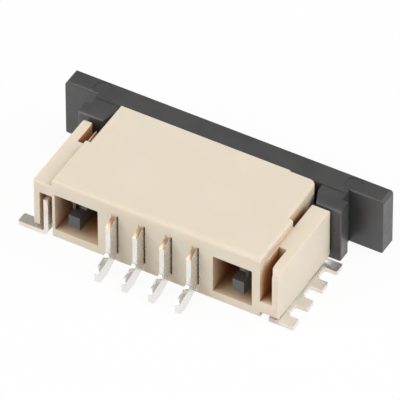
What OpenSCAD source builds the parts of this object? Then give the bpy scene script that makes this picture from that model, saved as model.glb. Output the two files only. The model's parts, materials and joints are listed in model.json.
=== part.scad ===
// Four-way right-angle surface-mount connector for flat flexible cable.
// The contact row runs along X, the solder tails point to -Y, the cable enters
// from +Y and Z = 0 is the top of the circuit board. The slider is drawn shut.
// The origin is the middle of the whole outline on the board.

/* [Contact row] */
// Distance between neighbouring contacts
pitch = 1.0; // [0.8:0.05:1.5]
// Thickness of the contact strip
contact_t = 0.18; // [0.12:0.01:0.25]
// Free space on each side of a contact in its slot
contact_gap = 0.04; // [0.02:0.01:0.08]
// How far the solder leg stands out of the back wall
leg_out = 0.45; // [0.3:0.05:0.8]
// How far the foot reaches out from the back wall
foot_out = 1.2; // [0.9:0.05:1.6]
// Height of the foot at its end
foot_h = 0.5; // [0.3:0.05:0.7]
// Depth of the stem that is gripped in the housing
stem_y = 0.85; // [0.7:0.05:1.2]
// Height of the contact bump above the floor
bump_h = 0.5; // [0.4:0.02:0.6]
// Height of the upper beam
beam_h = 0.31; // [0.2:0.01:0.4]

/* [Housing] */
// Height of the housing above the board
body_h = 2.5; // [2.4:0.1:3.2]
// Depth of the wide rear block
body_d = 2.2; // [1.9:0.1:3]
// Reach of the narrower front part from the back wall
front_y = 4.25; // [3.8:0.05:5.5]
// Width of the block outside the last contact
end_w = 2.38; // [2.2:0.02:3]
// Set-back of the front part on each side
front_in = 0.18; // [0.1:0.02:0.3]
// Radius of the upper back edge
edge_r = 0.2; // [0.05:0.05:0.3]
// Radius of the long upper edges
side_r = 0.09; // [0.03:0.01:0.15]
// Radius of the small moulded edges
mould_r = 0.06; // [0.03:0.01:0.1]
// Thickness of the floor under the contacts
floor_t = 0.38; // [0.25:0.01:0.5]
// Thickness of the roof above the contacts
roof_t = 0.47; // [0.3:0.01:0.7]
// Distance from the last contact to its window
window_in_gap = 0.64; // [0.4:0.02:0.9]

/* [Wings] */
// Thickness of a side wing
wing_w = 0.69; // [0.6:0.01:0.9]
// Length of a side wing
wing_l = 3.48; // [3.2:0.02:4.2]
// Step from the top of the housing down to the wing
wing_step = 0.3; // [0.1:0.05:0.6]
// Outer wall left beside the tab slot
wing_wall = 0.24; // [0.15:0.01:0.35]
// Length of the wide mouth of the tab slot
slot_y = 1.2; // [0.8:0.05:1.4]
// Length of the open pocket
pocket_y = 1.17; // [0.8:0.05:1.5]

/* [Slider] */
// Travel from shut to open
travel = 1.2; // [0.6:0.1:1.4]
// Thickness of the slider bar and its ears
bar_t = 0.67; // [0.5:0.01:1]
// Length of an ear beyond the shoulder rib
ear_l = 1.04; // [0.6:0.01:1.6]
// Step from the top of the housing down to the slider
slider_step = 0.15; // [0.05:0.05:0.3]
// Width of a latch arm
arm_w = 0.42; // [0.3:0.02:0.6]
// Height of a latch arm
arm_h = 0.95; // [0.7:0.05:1.1]
// How far the hook stands out of its arm
hook_w = 0.2; // [0.1:0.02:0.3]
// Length of the low nose in front of a latch arm
nose_l = 0.45; // [0.3:0.05:0.6]
// Height of the low nose
nose_h = 0.57; // [0.4:0.01:0.7]
// Thickness of the tongue over the cable
tongue_t = 0.4; // [0.3:0.02:0.5]
// Running clearance round the arms and shoulders
slide_gap = 0.05; // [0.03:0.01:0.1]
// Gap left between the shut slider and the housing
stop_gap = 0.05; // [0.03:0.01:0.2]

/* [Hold-downs] */
// Thickness of the hold-down sheet
tab_t = 0.17; // [0.12:0.01:0.25]
// Length of the upright tab and its bend
tab_l = 2.0; // [1.6:0.05:2.4]
// Wing left above the upright tab
tab_cover = 0.64; // [0.5:0.02:1]
// Reach of the comb beyond the wing
comb_out = 0.56; // [0.4:0.02:0.9]
// Width of one comb finger
finger_w = 0.42; // [0.3:0.02:0.6]
// Width of one gap in the comb
finger_gap = 0.56; // [0.4:0.02:0.8]

/* [Hidden] */
$fn = 48;
// A hair's breadth, so that a cut clears the face it starts from
eps = 0.01;
// How far joined shapes run into each other
bite = 0.1;
// How far a cut runs out into the open
past = 1;
// Small bevel on a pointed corner
nick = 0.06;

cream = [0.93, 0.88, 0.79];
charcoal = [0.22, 0.22, 0.23];
tin = [0.80, 0.79, 0.77];

// Contact row
ways = 4;
row_x = (ways - 1) * pitch / 2;
slot_w = contact_t + 2 * contact_gap;
slot_relief = 0.03;
stem_top = body_h - roof_t;
leg_slope = 0.2;
leg_rise = 0.03;
foot_flat = 0.52;
hollow_r = 0.22;
hollow_z = foot_h + hollow_r + 0.1;
bump_top = floor_t + bump_h;
low_beam_y = front_y - 1.3;
low_beam_t = 0.3;
low_beam_rise = 0.12;
bump_l = 0.32;
top_beam_y = front_y - 1.05;
beam_taper = [0.1, 0.18];

// Latch arms
arm_in = row_x + window_in_gap + 0.71;
arm_out = arm_in + arm_w;
arm_low = 0.65;
arm_top = arm_low + arm_h;
arm_y = 0.05;
nose_rise = 0.35;
hook_out = arm_out + hook_w;
hook_y = 0.85;
hook_l = 0.5;

// Housing
body_x = row_x + end_w;
front_x = body_x - front_in;
lip_x = row_x + 1.15;
lip = 0.08;
lip_r = 0.28;
window_in = row_x + window_in_gap;
window_right = hook_out + 0.12;
window_left = window_right + 0.17;
window_low = floor_t - 0.02;
window_top = stem_top - 0.13;
window_y = hook_y + travel + slide_gap;
cable_x = row_x + 1.05;
cable_low = floor_t + 0.34;
cable_top = stem_top - beam_h;
cable_y = stem_y + 0.1;
flare_l = 0.35;
flare_h = 0.2;

// Hold-down sheet
comb_n = 4;
comb_back = 0.06;
comb_short = 0.15;
comb_l = comb_n * finger_w + (comb_n - 1) * finger_gap;
comb_r = 0.2;
tab_in = body_x + 0.1;
tab_out = tab_in + tab_t;
bend_r = 0.08;
tip_l = 0.25;
tip_t = 0.12;

// Wings
wing_x = body_x + wing_w;
wing_top = body_h - wing_step;
wing_in = body_x + 0.04;
wing_root = body_x - 0.2;
wing_back_r = 0.3;
wing_front_r = 0.1;
wing_low = tab_t + 0.03;
slot_low = wing_low + 0.04;
slot_end_r = 0.14;
slot_x = wing_x - wing_wall;
slot_flare = 0.02;
pocket_x = slot_x - 0.1;
pocket_low = 0.7;
pocket_in = body_x + 0.06;
// Distances from the back at which the pocket's flared mouth turns
pocket_mouth = [0.05, 0.2, 0.3, 0.4, 0.5];
tab_h = wing_top - tab_cover;
tab_room = 0.21;
slot_top = tab_h + tab_room;
tip_gap = 0.03;
grip_y = comb_short + tab_l + tip_gap;

// Fingers of the hold-downs
comb_x = wing_x + comb_out;
comb_in = wing_x + 0.11;

// Slider
bar_y = front_y + 0.25;
bar_far = bar_y + bar_t;
bar_r = 0.1;
slider_top = body_h - slider_step;
slider_low = 0.06;
rib_x = wing_x + 0.35;
rib_t = 0.49;
neck_x = rib_x - 0.22;
ear_x = rib_x + ear_l;
ear_r = 0.16;
shoulder_y = wing_l + stop_gap;
shoulder_in = front_x + 2 * slide_gap;
shoulder_low = 0.03;
shoulder_r = 0.1;
shoulder_drop = 0.13;
slant = [0.2, 0.5];
tongue_x = cable_x - 0.13;
tongue_top = cable_top - 0.12;
tongue_low = tongue_top - tongue_t;
tongue_y = 1.6;
tongue_slope = [0.4, 0.12];
tongue_nick = [0.15, 0.1];
cable_flare = [0.3, 0.19];
pin_r = 0.31;
pin_y = bar_y + bar_t / 2 - 0.04;
pin_depth = 0.02;

// Middle of the whole outline, measured from the back wall
mid_y = (bar_far - foot_out) / 2;

// Moves a piece drawn from the back wall to its place about the origin
module placed() {
    translate([0, -mid_y, 0])
        children();
}

// A bar along X made from a profile drawn in Y and Z
module along_x(x0, x1) {
    translate([x0, 0, 0])
        rotate([90, 0, 90])
            linear_extrude(x1 - x0)
                children();
}

// A bar along Y made from a profile drawn in X and Z
module along_y(y0, y1) {
    translate([0, y1, 0])
        rotate([90, 0, 0])
            linear_extrude(y1 - y0)
                children();
}

// A box from its two corners
module block(p, q) {
    translate(p)
        cube(q - p);
}

// What is cut from a square corner at the origin to round it
module corner(r) {
    difference() {
        translate([-eps, -eps])
            square(r + eps);
        translate([r, r])
            circle(r);
    }
}

// Both sides of the connector
module both() {
    children();
    mirror([1, 0, 0])
        children();
}

// Half a turn that carries one wing onto the other
module turned(mid) {
    translate([0, 2 * mid, 0])
        rotate([0, 0, 180])
            children();
}

// ---------------------------------------------------------------- housing

// Plan of the rear block with the narrower front part, set back at the right
module core_plan() {
    difference() {
        union() {
            translate([-body_x, 0])
                square([2 * body_x, body_d]);
            translate([-front_x, 0])
                square([2 * front_x, front_y]);
        }
        translate([lip_x, front_y - lip])
            square([front_x, lip + past]);
        for (s = [-1, 1])
            translate([s * body_x, 0])
                scale([-s, 1])
                    corner(mould_r);
        translate([-front_x, front_y])
            scale([1, -1])
                corner(mould_r);
        translate([front_x, front_y - lip])
            scale([-1, -1])
                corner(lip_r);
    }
}

// Side view of the core with its rounded upper back edge
module core_side() {
    difference() {
        square([front_y, body_h]);
        translate([0, body_h])
            scale([1, -1])
                corner(edge_r);
        corner(mould_r);
        translate([front_y, body_h])
            scale([-1, -1])
                corner(mould_r);
    }
}

// Front view of a part of the core, its long upper edges rounded
module core_front(half) {
    difference() {
        translate([-half, 0])
            square([2 * half, body_h]);
        for (s = [-1, 1])
            translate([s * half, body_h])
                scale([-s, -1])
                    corner(side_r);
    }
}

module core() {
    intersection() {
        linear_extrude(body_h)
            core_plan();
        along_x(-body_x, body_x)
            core_side();
        union() {
            along_y(0, body_d)
                core_front(body_x);
            along_y(body_d - bite, front_y)
                core_front(front_x);
        }
    }
}

// Side view of a wing
module wing_side() {
    difference() {
        square([wing_l, wing_top]);
        translate([-past, -past])
            square([past + wing_l / 2, past + wing_low]);
        translate([wing_l / 2, -past])
            square([wing_l, past + slot_low]);
        translate([0, wing_top])
            scale([1, -1])
                corner(wing_back_r);
        translate([wing_l, wing_top])
            scale([-1, -1])
                corner(wing_front_r);
        translate([0, wing_low])
            corner(mould_r);
        translate([wing_l, slot_low])
            scale([-1, 1])
                corner(slot_end_r);
    }
}

// Right wing with its open pocket at the back and its tab slot at the front
module wing() {
    difference() {
        intersection() {
            along_x(wing_root, wing_x)
                wing_side();
            linear_extrude(body_h)
                difference() {
                    translate([wing_root, 0])
                        square([wing_x - wing_root, wing_l]);
                    translate([wing_x, wing_l])
                        scale([-1, -1])
                            corner(mould_r);
                }
        }
        // pocket open to the top and the back, its mouth flared
        translate([0, 0, pocket_low])
            linear_extrude(body_h)
                polygon([
                    [body_x, -past],
                    [slot_x, -past],
                    [slot_x, pocket_mouth[0]],
                    [pocket_x + slot_flare, pocket_mouth[1]],
                    [pocket_x, pocket_mouth[3]],
                    [pocket_x, pocket_y],
                    [pocket_in, pocket_y],
                    [pocket_in, pocket_mouth[4]],
                    [body_x, pocket_mouth[2]]
                ]);
        // wide mouth of the tab slot
        block([body_x - slot_flare, wing_l - slot_y, -past], [slot_x, wing_l + past, slot_top]);
        // narrow part that grips the tab
        block([tab_in, wing_l - grip_y, -past],
              [tab_out, wing_l - slot_y + eps, tab_h + tip_gap]);
    }
}

// Gap between a wing and the narrower front part
module side_gap() {
    block([front_x, body_d, -past], [wing_in, front_y + past, body_h + past]);
}

// Opening for one contact, from the back wall to the front of its beams
module contact_slot() {
    block([-slot_w / 2, -past, floor_t],
          [slot_w / 2, stem_y + eps, stem_top]);
    block([-slot_w / 2, stem_y, floor_t - slot_relief],
          [slot_w / 2, top_beam_y + 2 * contact_gap, stem_top + slot_relief]);
}

// Cable chamber with a flared mouth
module cable_chamber() {
    block([-cable_x, cable_y, cable_low], [cable_x, front_y + past, cable_top]);
    along_x(-cable_x, cable_x)
        polygon([
            [front_y - flare_l, cable_low],
            [front_y + eps, cable_low - flare_h],
            [front_y + eps, cable_low + eps],
            [front_y - flare_l, cable_low + eps]
        ]);
}

// Channel for one latch arm
module arm_channel() {
    block([arm_in - slide_gap, window_y - bite, arm_low - slide_gap],
          [arm_out + slide_gap, front_y + past, arm_top + slide_gap]);
}

// Window in the back wall, its far end the stop for the hook
module window(outer) {
    block([window_in, -past, window_low], [outer, window_y, window_top]);
}

module housing() {
    color(cream)
        placed()
            difference() {
                union() {
                    core();
                    wing();
                    turned(wing_l / 2)
                        wing();
                }
                both()
                    side_gap();
                for (i = [0:ways - 1])
                    translate([i * pitch - row_x, 0, 0])
                        contact_slot();
                cable_chamber();
                both()
                    arm_channel();
                window(window_right);
                mirror([1, 0, 0])
                    window(window_left);
            }
}

// ----------------------------------------------------------------- slider

// Front view of the bar with rounded ear corners
module bar_front() {
    difference() {
        translate([-ear_x, slider_low])
            square([2 * ear_x, slider_top - slider_low]);
        for (s = [-1, 1]) {
            translate([s * ear_x, slider_top])
                scale([-s, -1])
                    corner(ear_r);
            translate([s * ear_x, slider_low])
                scale([-s, 1])
                    corner(mould_r);
        }
    }
}

// Side view of the bar with its rounded upper edges
module bar_side() {
    difference() {
        translate([bar_y, 0])
            square([bar_t, slider_top]);
        translate([bar_y, slider_top])
            scale([1, -1])
                corner(bar_r);
        translate([bar_far, slider_top])
            scale([-1, -1])
                corner(mould_r);
    }
}

// Plan of one shoulder, slanted where it passes the front of the housing
module shoulder_plan() {
    difference() {
        union() {
            translate([shoulder_in, shoulder_y])
                square([neck_x - shoulder_in, bar_y + bite - shoulder_y]);
            translate([neck_x - bite, shoulder_y])
                square([rib_x - neck_x + bite, rib_t]);
        }
        polygon([
            [shoulder_in - past, shoulder_y - past],
            [shoulder_in + slant.x, shoulder_y - past],
            [shoulder_in + slant.x, shoulder_y],
            [shoulder_in, shoulder_y + slant.y],
            [shoulder_in - past, shoulder_y + slant.y]
        ]);
        translate([rib_x, shoulder_y])
            scale([-1, 1])
                corner(mould_r);
    }
}

// Shoulder that slides in front of a wing, its top sloping down from the bar
module shoulder() {
    intersection() {
        translate([0, 0, shoulder_low])
            linear_extrude(slider_top - shoulder_low)
                shoulder_plan();
        along_y(shoulder_y, bar_far)
            difference() {
                square([rib_x, slider_top]);
                translate([rib_x, slider_top])
                    scale([-1, -1])
                        corner(shoulder_r);
            }
        along_x(0, rib_x)
            polygon([
                [shoulder_y, 0],
                [bar_far, 0],
                [bar_far, slider_top],
                [bar_y, slider_top],
                [shoulder_y + nick, slider_top - shoulder_drop],
                [shoulder_y, slider_top - shoulder_drop - nick]
            ]);
    }
}

// Side view of a latch arm with its low nose
module arm_side() {
    polygon([
        [arm_y, arm_low + nick],
        [arm_y + nick, arm_low],
        [bar_y + bite, arm_low],
        [bar_y + bite, arm_top],
        [arm_y + nose_l + nose_rise, arm_top],
        [arm_y + nose_l, arm_low + nose_h],
        [arm_y, arm_low + nose_h]
    ]);
}

// Latch arm and the hook that holds the open slider
module arm() {
    along_x(arm_in, arm_out)
        arm_side();
    translate([0, 0, arm_low])
        linear_extrude(arm_h)
            polygon([
                [arm_out - bite, hook_y - hook_l],
                [arm_out, hook_y - hook_l],
                [hook_out, hook_y - hook_w],
                [hook_out, hook_y],
                [arm_out - bite, hook_y]
            ]);
}

// Tongue that presses the cable onto the contacts
module tongue() {
    along_x(-tongue_x, tongue_x)
        polygon([
            [tongue_y, tongue_low + tongue_slope.y],
            [tongue_y + tongue_slope.x, tongue_low],
            [bar_y + bite, tongue_low],
            [bar_y + bite, tongue_top],
            [tongue_y + tongue_nick.x, tongue_top],
            [tongue_y, tongue_top - tongue_nick.y]
        ]);
}

module slider() {
    color(charcoal)
        placed()
            difference() {
                union() {
                    intersection() {
                        along_y(bar_y, bar_far)
                            bar_front();
                        along_x(-ear_x, ear_x)
                            bar_side();
                    }
                    block([-neck_x, front_y + stop_gap, slider_low],
                          [neck_x, bar_y + bar_r + eps, slider_top]);
                    both() {
                        shoulder();
                        arm();
                    }
                    tongue();
                }
                // slot the cable passes through
                block([-cable_x, front_y, cable_low], [cable_x, bar_far + past, tongue_low]);
                along_x(-cable_x, cable_x)
                    polygon([
                        [bar_far - cable_flare.x, cable_low + eps],
                        [bar_far - cable_flare.x, cable_low],
                        [bar_far + eps, cable_low - cable_flare.y],
                        [bar_far + eps, cable_low + eps]
                    ]);
                // round moulding marks on the top
                both()
                    translate([neck_x, pin_y, slider_top - pin_depth])
                        cylinder(r = pin_r, h = past);
            }
}

// --------------------------------------------------------------- contacts

// Outline of the blanked contact: foot, leg, stem and the two beams of the fork
module contact_outline() {
    difference() {
        union() {
            // leg and stem
            polygon([
                [-leg_out, floor_t],
                [stem_y, floor_t],
                [stem_y, stem_top],
                [-leg_rise, stem_top],
                [-leg_out, stem_top - leg_slope]
            ]);
            // foot with its rising underside
            polygon([
                [-foot_out, nick],
                [-foot_out + nick, 0],
                [-foot_out + foot_flat, 0],
                [-bite, floor_t - bite],
                [-eps, floor_t],
                [-eps, floor_t + low_beam_t],
                [-leg_out, hollow_z],
                [-leg_out - hollow_r, foot_h + bite],
                [-foot_out + nick, foot_h],
                [-foot_out, foot_h - nick]
            ]);
            // lower beam with its contact bump
            polygon([
                [stem_y - bite, floor_t],
                [low_beam_y - bump_l, floor_t + low_beam_rise],
                [low_beam_y, floor_t + 2 * low_beam_rise],
                [low_beam_y - bump_l / 5, bump_top - bite],
                [low_beam_y - bump_l / 2, bump_top],
                [low_beam_y - bump_l, bump_top - bite / 2],
                [low_beam_y - 1.5 * bump_l, floor_t + low_beam_t],
                [stem_y - bite, floor_t + low_beam_t]
            ]);
            // upper beam
            polygon([
                [stem_y - bite, cable_top],
                [top_beam_y - bite, cable_top + beam_taper[0]],
                [top_beam_y, cable_top + beam_taper[1]],
                [top_beam_y, stem_top],
                [stem_y - bite, stem_top]
            ]);
        }
        // hollow between the leg and the foot
        translate([-leg_out - hollow_r, hollow_z])
            circle(hollow_r);
    }
}

module contact(i) {
    color(tin)
        placed()
            translate([i * pitch - row_x, 0, 0])
                along_x(-contact_t / 2, contact_t / 2)
                    contact_outline();
}

module contact_1() {
    contact(0);
}

module contact_2() {
    contact(1);
}

module contact_3() {
    contact(2);
}

module contact_4() {
    contact(3);
}

// ------------------------------------------------------------- hold-downs

// Plan of the comb foot, outside the bend
module comb_plan() {
    difference() {
        translate([tab_out + bend_r, -comb_back])
            square([comb_x - tab_out - bend_r, comb_l]);
        // gaps with round inner corners
        for (i = [0:comb_n - 2])
            translate([comb_in, -comb_back + finger_w + i * (finger_w + finger_gap)])
                difference() {
                    square([comb_out, finger_gap]);
                    translate([0, finger_gap])
                        scale([1, -1])
                            corner(comb_r);
                    corner(comb_r / 2);
                }
        // rounded finger ends
        for (i = [0:comb_n - 1])
            translate([comb_x, -comb_back + i * (finger_w + finger_gap)]) {
                scale([-1, 1])
                    corner(tab_t / 3);
                translate([0, finger_w])
                    scale([-1, -1])
                        corner(tab_t / 3);
            }
    }
}

// Section of the bend between the foot and the upright tab
module bend_section() {
    intersection() {
        difference() {
            circle(bend_r + tab_t);
            circle(bend_r);
        }
        translate([-past, -past])
            square([past + eps, past]);
    }
}

// Stamped hold-down on the right side, its upright tab at the near end
module hold_down_blank() {
    linear_extrude(tab_t)
        comb_plan();
    // bend
    translate([tab_out + bend_r, tab_l - comb_back, bend_r + tab_t])
        rotate([90, 0, 0])
            linear_extrude(tab_l)
                bend_section();
    // upright tab with its tapered tip
    translate([tab_in, tab_l - comb_back, 0])
        rotate([90, 0, 0])
            linear_extrude(tab_l)
                polygon([
                    [0, bend_r + tab_t],
                    [tab_t, bend_r + tab_t],
                    [tab_t, tab_h],
                    [tab_t - tip_t, tab_h],
                    [0, tab_h - tip_l]
                ]);
}

module hold_down_left() {
    color(tin)
        placed()
            mirror([1, 0, 0])
                hold_down_blank();
}

module hold_down_right() {
    color(tin)
        placed()
            turned((wing_l - comb_short - comb_back) / 2)
                mirror([1, 0, 0])
                    hold_down_blank();
}

housing();
slider();
contact_1();
contact_2();
contact_3();
contact_4();
hold_down_left();
hold_down_right();
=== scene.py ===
import json
import math

import bmesh
import bpy
from mathutils import Matrix, Vector


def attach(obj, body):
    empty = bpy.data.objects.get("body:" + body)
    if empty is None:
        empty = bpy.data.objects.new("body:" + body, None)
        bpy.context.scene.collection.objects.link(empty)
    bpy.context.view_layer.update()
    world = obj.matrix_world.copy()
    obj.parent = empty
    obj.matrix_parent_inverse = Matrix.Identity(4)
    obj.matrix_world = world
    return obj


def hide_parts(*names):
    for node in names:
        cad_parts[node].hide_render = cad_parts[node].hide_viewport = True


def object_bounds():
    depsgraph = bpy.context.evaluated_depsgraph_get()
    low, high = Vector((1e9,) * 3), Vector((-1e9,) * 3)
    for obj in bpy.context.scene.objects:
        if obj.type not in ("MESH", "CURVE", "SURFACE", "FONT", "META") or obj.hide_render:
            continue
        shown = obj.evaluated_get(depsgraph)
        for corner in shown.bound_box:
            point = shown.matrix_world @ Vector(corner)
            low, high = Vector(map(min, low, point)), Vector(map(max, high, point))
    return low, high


# Finish, light and camera of a small connector for flat flexible cable.
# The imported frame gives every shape: each piece is its CAD node with the edges broken and the
# surface smoothed, in the material that the real one has. Lengths are in metres.

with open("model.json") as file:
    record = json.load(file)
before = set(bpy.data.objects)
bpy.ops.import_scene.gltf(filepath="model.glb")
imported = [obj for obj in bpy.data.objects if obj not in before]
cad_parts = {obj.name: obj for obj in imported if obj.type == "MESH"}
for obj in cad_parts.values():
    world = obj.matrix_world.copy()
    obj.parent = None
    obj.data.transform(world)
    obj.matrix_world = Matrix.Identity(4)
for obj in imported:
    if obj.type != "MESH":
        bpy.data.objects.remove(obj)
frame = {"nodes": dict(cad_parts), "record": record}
cad_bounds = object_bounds()
MM = 0.001


# ------------------------------------------------------------------ shader nodes

class Shader:
    """A material with one Principled shader, and short calls that add nodes to it."""

    def __init__(self, name, **values):
        self.material = bpy.data.materials.new(name)
        self.material.use_nodes = True
        self.tree = self.material.node_tree
        self.surface = self.tree.nodes["Principled BSDF"]
        for socket, value in values.items():
            self.surface.inputs[socket.replace("_", " ")].default_value = value
        place = self.add("ShaderNodeTexCoord")
        self.place = self.math3("MULTIPLY", place.outputs["Object"], (1 / MM, 1 / MM, 1 / MM))

    def add(self, kind, settings=None, **sockets):
        node = self.tree.nodes.new(kind)
        for key, value in (settings or {}).items():
            setattr(node, key, value)
        for key, value in sockets.items():
            self.put(node.inputs[key.replace("_", " ")], value)
        return node

    def put(self, socket, value):
        if isinstance(value, bpy.types.NodeSocket):
            self.tree.links.new(value, socket)
        else:
            socket.default_value = value

    def math(self, operation, first, second=0.0, clamp=False):
        node = self.add("ShaderNodeMath", {"operation": operation, "use_clamp": clamp})
        self.put(node.inputs[0], first)
        self.put(node.inputs[1], second)
        return node.outputs[0]

    def math3(self, operation, first, second):
        node = self.add("ShaderNodeVectorMath", {"operation": operation})
        self.put(node.inputs[0], first)
        self.put(node.inputs[1], second)
        return node.outputs[1 if operation in ("LENGTH", "DISTANCE", "DOT_PRODUCT") else 0]

    def noise(self, per_mm, detail=3.0, stretch=(1, 1, 1), rough=0.55):
        where = self.math3("MULTIPLY", self.place, stretch)
        return self.add("ShaderNodeTexNoise", Vector=where, Scale=per_mm, Detail=detail,
                        Roughness=rough).outputs["Fac"]

    def spread(self, value, low, high, to_low=0.0, to_high=1.0):
        return self.add("ShaderNodeMapRange", Value=value, From_Min=low, From_Max=high,
                        To_Min=to_low, To_Max=to_high).outputs["Result"]

    def blend(self, share, first, second):
        node = self.add("ShaderNodeMix", {"data_type": "RGBA"})
        self.put(node.inputs[0], share)
        self.put(node.inputs[6], first)
        self.put(node.inputs[7], second)
        return node.outputs[2]

    def finish(self, colour=None, roughness=None, heights=()):
        """Links the colour and roughness, and stacks bumps given as (height, depth in mm, strength)."""
        if colour is not None:
            self.put(self.surface.inputs["Base Color"], colour)
        if roughness is not None:
            self.put(self.surface.inputs["Roughness"], roughness)
        normal = None
        for height, depth, strength in heights:
            bump = self.add("ShaderNodeBump", Height=height, Distance=depth * MM, Strength=strength)
            if normal is not None:
                self.put(bump.inputs["Normal"], normal)
            normal = bump.outputs["Normal"]
        if normal is not None:
            self.put(self.surface.inputs["Normal"], normal)
        return self.material


def housing_plastic():
    """Cream glass-filled nylon: faintly mottled, fine satin grain, with a painted amber glow and dark
    brown shade in its hollows, set by its own ambient occlusion.
    """
    s = Shader("cream_nylon", IOR=1.5, Subsurface_Weight=0.5, Subsurface_Scale=0.2 * MM)
    s.surface.inputs["Subsurface Radius"].default_value = (1.0, 0.55, 0.28)
    cloud = s.noise(0.55, 2)
    flow = s.noise(1.6, 4, (0.35, 1, 1))
    grain = s.noise(24, 2)
    colour = s.blend(s.spread(cloud, 0.35, 0.65), (0.84, 0.75, 0.62, 1), (0.86, 0.77, 0.64, 1))
    colour = s.blend(s.spread(flow, 0.3, 0.7, 0, 0.35), colour, (0.82, 0.725, 0.59, 1))
    openness_for_painted_shade = s.add("ShaderNodeAmbientOcclusion", {"samples": 12, "only_local": True},
                     Distance=2.0 * MM).outputs["AO"]
    # Painted shade: amber, then dark brown, where the housing's own ambient occlusion finds a spot shut
    # in, as if lit by a glow through the walls.
    colour = s.blend(s.spread(openness_for_painted_shade, 0.66, 0.38), colour, (0.74, 0.50, 0.29, 1))
    colour = s.blend(s.spread(openness_for_painted_shade, 0.42, 0.16), colour, (0.40, 0.15, 0.05, 1))
    rough = s.spread(s.noise(6, 3), 0.3, 0.7, 0.40, 0.52)
    return s.finish(colour, rough, [(grain, 0.004, 0.35), (s.noise(3, 3), 0.006, 0.2)])


def slider_plastic():
    """Charcoal moulded plastic with a fine grain and faint scuffs along its length."""
    s = Shader("charcoal_plastic", IOR=1.5, Specular_IOR_Level=0.75)
    cloud = s.noise(0.9, 3)
    scuff = s.noise(5, 4, (0.12, 1, 1), 0.7)
    grain = s.noise(20, 2)
    colour = s.blend(s.spread(cloud, 0.3, 0.7), (0.050, 0.049, 0.051, 1), (0.068, 0.067, 0.066, 1))
    colour = s.blend(s.spread(scuff, 0.62, 0.78, 0, 0.3), colour, (0.12, 0.12, 0.125, 1))
    rough = s.spread(s.noise(4, 4), 0.3, 0.7, 0.32, 0.46)
    return s.finish(colour, rough, [(grain, 0.005, 0.3), (scuff, 0.004, 0.3)])


def tin_plate():
    """Satin tin over bronze sheet, with the faintest rolling lines."""
    s = Shader("tin_plate", Metallic=0.85)
    rolled = s.noise(9, 2, (1, 0.08, 1), 0.5)
    cloud = s.noise(1.6, 2)
    colour = s.blend(s.spread(cloud, 0.3, 0.7), (0.84, 0.815, 0.775, 1), (0.90, 0.88, 0.85, 1))
    rough = s.spread(rolled, 0.3, 0.7, 0.24, 0.32)
    return s.finish(colour, rough, [(rolled, 0.002, 0.2)])


def cut_edge():
    """Punched edge of the sheet after plating, where pinkish bronze shows under a smear of tin."""
    s = Shader("cut_edge", Metallic=0.85)
    smear = s.noise(2.2, 2, (1, 1, 0.6))
    colour = s.blend(s.spread(smear, 0.4, 0.62), (0.88, 0.81, 0.74, 1), (0.86, 0.70, 0.59, 1))
    return s.finish(colour, s.spread(smear, 0.3, 0.7, 0.26, 0.36))


def bare_bronze():
    """Sheared bronze at the top of a contact's leg."""
    s = Shader("bare_bronze", Metallic=1.0)
    smear = s.noise(4, 2)
    colour = s.blend(s.spread(smear, 0.35, 0.65), (0.72, 0.45, 0.27, 1), (0.80, 0.58, 0.40, 1))
    return s.finish(colour, s.spread(smear, 0.3, 0.7, 0.25, 0.4))


# ------------------------------------------------------------------ pieces

CORNER = math.radians(42)   # faces that meet at more than this make an edge, the rest one curve
FLAT = math.radians(0.6)    # facets that meet at less than this are one flat face
WELD = 0.0005 * MM
HOUSING_EDGE = 0.03 * MM
SLIDER_EDGE = 0.03 * MM
CONTACT_EDGE = 0.015 * MM
HOLD_DOWN_EDGE = 0.02 * MM


def broken_edges(node, width, keep=None):
    """A copy of a CAD node's mesh with its outer edges rounded to about the width. Edges whose
    middle answers to keep stay crisp."""
    mesh = frame["nodes"][node].data.copy()
    work = bmesh.new()
    work.from_mesh(mesh)
    bmesh.ops.remove_doubles(work, verts=work.verts, dist=WELD)
    bmesh.ops.dissolve_limit(work, angle_limit=FLAT, verts=work.verts, edges=work.edges)
    outer = [e for e in work.edges
             if e.is_manifold and e.calc_face_angle_signed() > CORNER and e.calc_length() > 2 * width
             and not (keep and keep((e.verts[0].co + e.verts[1].co) / 2))]
    bmesh.ops.bevel(work, geom=outer, offset=width, offset_type="OFFSET", segments=2,
                    profile=0.5, affect="EDGES", clamp_overlap=True, loop_slide=True)
    bmesh.ops.remove_doubles(work, verts=work.verts, dist=WELD)
    for face in work.faces:
        face.smooth = True
    for edge in work.edges:
        if edge.is_manifold and edge.calc_face_angle() > CORNER:
            edge.smooth = False
    work.to_mesh(mesh)
    work.free()
    mesh.materials.clear()
    return mesh


def piece(node, body, width, materials, pick=None, keep=None):
    """The visible piece for one CAD node. pick says which material a face takes."""
    mesh = broken_edges(node, width, keep)
    for material in materials:
        mesh.materials.append(material)
    if pick:
        for face in mesh.polygons:
            face.material_index = pick(face)
    shown = bpy.data.objects.new(node + "_finish", mesh)
    bpy.context.scene.collection.objects.link(shown)
    even = shown.modifiers.new("even_shading", "WEIGHTED_NORMAL")
    even.keep_sharp = True
    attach(shown, body)
    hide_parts(node)


PITCH = 1.0 * MM            # between neighbouring contacts, which stand half a pitch off the middle
SLOT_REACH = 0.2            # of a pitch, from a contact's middle past the rim of its slot
ROW_END = 1.8 * MM          # past the outermost slot, short of the windows
LEG_SLOPE = Vector((0, -0.43, 0.90))
LEG_SLOPE_LOW = 1.6 * MM
STEEP = 0.7                 # a normal's part along an axis, for faces that look that way


def contact_face(face):
    """Tin all round, but bare bronze on the slope at the top of the leg."""
    sloped = face.normal.dot(LEG_SLOPE) > 0.97
    return 1 if sloped and face.center.z > LEG_SLOPE_LOW else 0


def contact_slot_edge(middle):
    """Whether an edge of the housing rims one of the four narrow contact slots."""
    offset = middle.x / PITCH - 0.5
    return abs(offset - round(offset)) < SLOT_REACH and abs(middle.x) < ROW_END


def hold_down_face(face):
    """Punched edge on the faces that look along Y, and tin on the rest."""
    return 1 if abs(face.normal.y) > STEEP else 0


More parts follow.
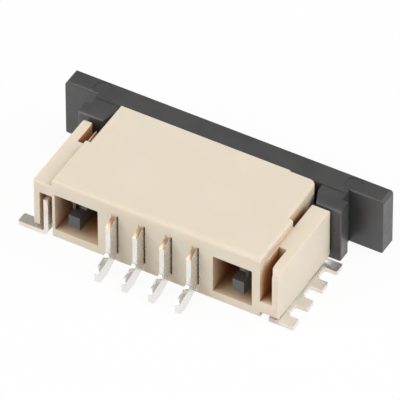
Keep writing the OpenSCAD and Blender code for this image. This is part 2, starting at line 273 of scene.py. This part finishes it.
cream = housing_plastic()
charcoal = slider_plastic()
tin = tin_plate()
cut = cut_edge()
bronze = bare_bronze()
bodies = {node: body for body, nodes in frame["record"]["behaviour"]["bodies"].items() for node in nodes}

piece("housing", bodies["housing"], HOUSING_EDGE, [cream],
      keep=contact_slot_edge)
piece("slider", bodies["slider"], SLIDER_EDGE, [charcoal])
for node in sorted(frame["nodes"]):
    if node.startswith("contact"):
        piece(node, bodies[node], CONTACT_EDGE, [tin, bronze], contact_face)
    if node.startswith("hold_down"):
        piece(node, bodies[node], HOLD_DOWN_EDGE, [tin, cut], hold_down_face)


# ------------------------------------------------------------------ floor, light, camera

FLOOR_HALF = 2.0
FLOOR_GAP = 0.01 * MM       # keeps the floor out of the undersides that stand on it
FLOOR_WHITE = 0.93          # share of plain white in what the camera and reflections see
LAMP_DISTANCE = 0.40
LAMP_SIZE = 0.34
ROOM_LEVEL = 0.35


def floor():
    """A pale flat floor. It shows white, and keeps a faint shadow under the part."""
    mesh = bpy.data.meshes.new("floor")
    half = FLOOR_HALF
    low = cad_bounds[0][2] - FLOOR_GAP
    corners = [(-half, -half, low), (half, -half, low), (half, half, low), (-half, half, low)]
    mesh.from_pydata(corners, [], [(0, 1, 2, 3)])
    plane = bpy.data.objects.new("floor", mesh)
    bpy.context.scene.collection.objects.link(plane)
    s = Shader("floor_white", Roughness=1.0)
    s.surface.inputs["Base Color"].default_value = (0.92, 0.92, 0.92, 1)
    s.surface.inputs["Specular IOR Level"].default_value = 0.0
    white = s.add("ShaderNodeEmission", Color=(1, 1, 1, 1), Strength=1.0)
    path = s.add("ShaderNodeLightPath")
    seen = s.math("MAXIMUM", path.outputs["Is Camera Ray"], path.outputs["Is Glossy Ray"])
    seen = s.math("MULTIPLY", s.math("MAXIMUM", seen, path.outputs["Is Transmission Ray"]), FLOOR_WHITE)
    both = s.add("ShaderNodeMixShader")
    s.put(both.inputs[0], seen)
    s.put(both.inputs[1], s.surface.outputs[0])
    s.put(both.inputs[2], white.outputs[0])
    s.put(s.tree.nodes["Material Output"].inputs["Surface"], both.outputs[0])
    mesh.materials.append(s.material)


def softbox(name, direction, power):
    """A square area lamp that faces the part from a direction."""
    lamp = bpy.data.lights.new(name, "AREA")
    lamp.shape = "SQUARE"
    lamp.size = LAMP_SIZE
    lamp.energy = power
    box = bpy.data.objects.new(name, lamp)
    away = Vector(direction).normalized()
    box.location = away * LAMP_DISTANCE
    box.rotation_euler = away.to_track_quat("Z", "Y").to_euler()
    bpy.context.scene.collection.objects.link(box)


def surroundings(level):
    """A dim even room for the part, white where the camera looks past the floor."""
    world = bpy.data.worlds.new("studio")
    world.use_nodes = True
    tree = world.node_tree
    room = tree.nodes["Background"]
    room.inputs["Color"].default_value = (1.0, 0.985, 0.96, 1)
    room.inputs["Strength"].default_value = level
    backdrop = tree.nodes.new("ShaderNodeBackground")
    path = tree.nodes.new("ShaderNodeLightPath")
    both = tree.nodes.new("ShaderNodeMixShader")
    tree.links.new(path.outputs["Is Camera Ray"], both.inputs[0])
    tree.links.new(room.outputs[0], both.inputs[1])
    tree.links.new(backdrop.outputs[0], both.inputs[2])
    tree.links.new(both.outputs[0], tree.nodes["World Output"].inputs["Surface"])
    bpy.context.scene.world = world


def camera(azimuth, elevation, roll, target, distance, angle):
    """A camera far off with a narrow view. Azimuth 0 looks along +Y, and +X is to the right."""
    a, e = math.radians(azimuth), math.radians(elevation)
    back = Vector((math.sin(a) * math.cos(e), -math.cos(a) * math.cos(e), math.sin(e)))
    right = Vector((math.cos(a), math.sin(a), 0))
    turn = Matrix.Rotation(math.radians(roll), 3, back)
    right = turn @ right
    up = back.cross(right)
    data = bpy.data.cameras.new("camera")
    data.sensor_width = 36
    data.lens = data.sensor_width / 2 / math.tan(math.radians(angle) / 2)
    data.clip_start = 0.01
    data.clip_end = 10
    view = bpy.data.objects.new("camera", data)
    view.matrix_world = Matrix.Translation(target + distance * back) @ Matrix(
        (right, up, back)).transposed().to_4x4()
    bpy.context.scene.collection.objects.link(view)
    bpy.context.scene.camera = view


floor()
softbox("left_box", (-0.62, -0.62, 0.75), power=0.86)
softbox("right_box", (0.80, 0.25, 0.80), power=0.98)
surroundings(ROOM_LEVEL)
camera(azimuth=29.564, elevation=43.365, roll=-0.186, target=Vector((0.0135, 0.952, 1.0)) * MM,
       distance=260.7 * MM, angle=2.869)

bpy.context.scene.view_settings.view_transform = "Standard"
